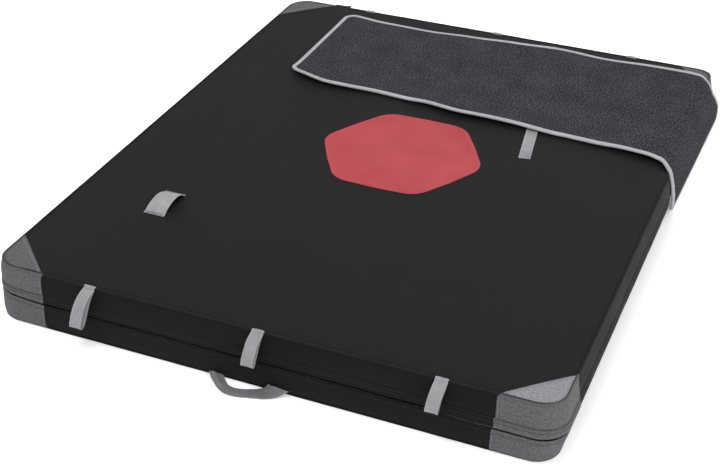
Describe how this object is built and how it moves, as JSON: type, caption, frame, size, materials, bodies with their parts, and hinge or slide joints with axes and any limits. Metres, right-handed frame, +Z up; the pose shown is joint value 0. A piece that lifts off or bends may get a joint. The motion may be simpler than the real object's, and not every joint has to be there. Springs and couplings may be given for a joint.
{
  "type": "bouldering crash pad",
  "caption": "Thick foam crash pad for bouldering, in a zipped cloth cover that folds in half, with a carpet flap, webbing loops, a carry handle and shoulder straps underneath.",
  "frame": {"origin": "on the ground, at the middle of the pad's fold line", "axes": "+X along the front edge, towards the side where the carpet flap hangs down; +Y from the front edge to the far edge; +Z up"},
  "size_m": [1.1956, 1.5322, 0.1529],
  "materials": {
    "cover": "heavy coated nylon",
    "grey_cloth": "grey coated nylon",
    "webbing": "grey woven webbing",
    "black_webbing": "black woven webbing",
    "zip": "coil zip on tape",
    "firm_foam": "closed-cell foam",
    "soft_foam": "open-cell foam",
    "carpet": "short carpet pile",
    "binding": "grey binding tape",
    "plastic": "black moulded"
  },
  "bodies": {
    "front_half": {"front_top_panel": "cover", "front_upper_side_band": "cover", "front_lower_side_band": "cover", "front_zip_cover": "cover", "front_zip": "zip", "front_bottom_panel": "cover", "front_base_foam": "firm_foam", "front_core_foam": "soft_foam", "front_top_foam": "firm_foam", "front_left_corner_top_patch": "grey_cloth", "front_left_corner_upper_patch": "grey_cloth", "front_left_corner_zip_patch": "grey_cloth", "front_left_corner_lower_patch": "grey_cloth", "front_right_corner_top_patch": "grey_cloth", "front_right_corner_upper_patch": "grey_cloth", "front_right_corner_zip_patch": "grey_cloth", "front_right_corner_lower_patch": "grey_cloth", "front_left_hanging_loop": "webbing", "front_middle_hanging_loop": "webbing", "front_right_hanging_loop": "webbing", "top_grab_loop": "webbing"},
    "rear_half": {"rear_top_panel": "cover", "rear_upper_side_band": "cover", "rear_lower_side_band": "cover", "rear_zip_cover": "cover", "rear_zip": "zip", "rear_bottom_panel": "cover", "rear_base_foam": "firm_foam", "rear_core_foam": "soft_foam", "rear_top_foam": "firm_foam", "rear_left_corner_top_patch": "grey_cloth", "rear_left_corner_upper_patch": "grey_cloth", "rear_left_corner_zip_patch": "grey_cloth", "rear_left_corner_lower_patch": "grey_cloth", "rear_right_corner_top_patch": "grey_cloth", "rear_right_corner_upper_patch": "grey_cloth", "rear_right_corner_zip_patch": "grey_cloth", "rear_right_corner_lower_patch": "grey_cloth", "rear_left_hanging_loop": "webbing", "rear_middle_hanging_loop": "webbing", "rear_right_hanging_loop": "webbing", "rear_top_tab": "webbing", "rear_seam_tab": "black_webbing", "flap_hem": "cover", "near_shoulder_strap": "cover", "near_strap_buckle": "plastic", "near_strap_webbing": "black_webbing", "far_shoulder_strap": "cover", "far_strap_buckle": "plastic", "far_strap_webbing": "black_webbing"},
    "flap_side": {"flap_side_backing": "cover", "flap_side_carpet": "carpet", "flap_side_binding": "binding"},
    "flap_top": {"flap_top_backing": "cover", "flap_top_carpet": "carpet", "flap_top_binding": "binding"},
    "handle": {"carry_handle": "webbing"},
    "slider": {"zip_slider": "plastic"},
    "puller": {"zip_puller": "plastic"}
  },
  "joints": [
    {"name": "fold", "type": "hinge", "parent": "front_half", "child": "rear_half", "pos_m": [0, 0, 0.152], "axis": [1, 0, 0], "range_deg": [0, 178]},
    {"name": "flap_side_hinge", "type": "hinge", "parent": "rear_half", "child": "flap_side", "pos_m": [0.6019, 0.45, 0.0005], "axis": [0, -1, 0], "range_deg": [-90, 0]},
    {"name": "flap_top_hinge", "type": "hinge", "parent": "flap_side", "child": "flap_top", "pos_m": [0.6019, 0.45, 0.1389], "axis": [0, -1, 0], "range_deg": [-90, 0]},
    {"name": "handle_hinge", "type": "hinge", "parent": "front_half", "child": "handle", "pos_m": [-0.019, -0.72607, 0.0035], "axis": [-1, 0, 0], "range_deg": [0, 50]},
    {"name": "zip_slide", "type": "slide", "parent": "rear_half", "child": "slider", "axis": [1, 0, 0], "range_m": [0, 0.88]},
    {"name": "puller_hinge", "type": "hinge", "parent": "slider", "child": "puller", "pos_m": [-0.44, 0.729, 0.0502], "axis": [1, 0, 0], "range_deg": [0, 80]}
  ]
}
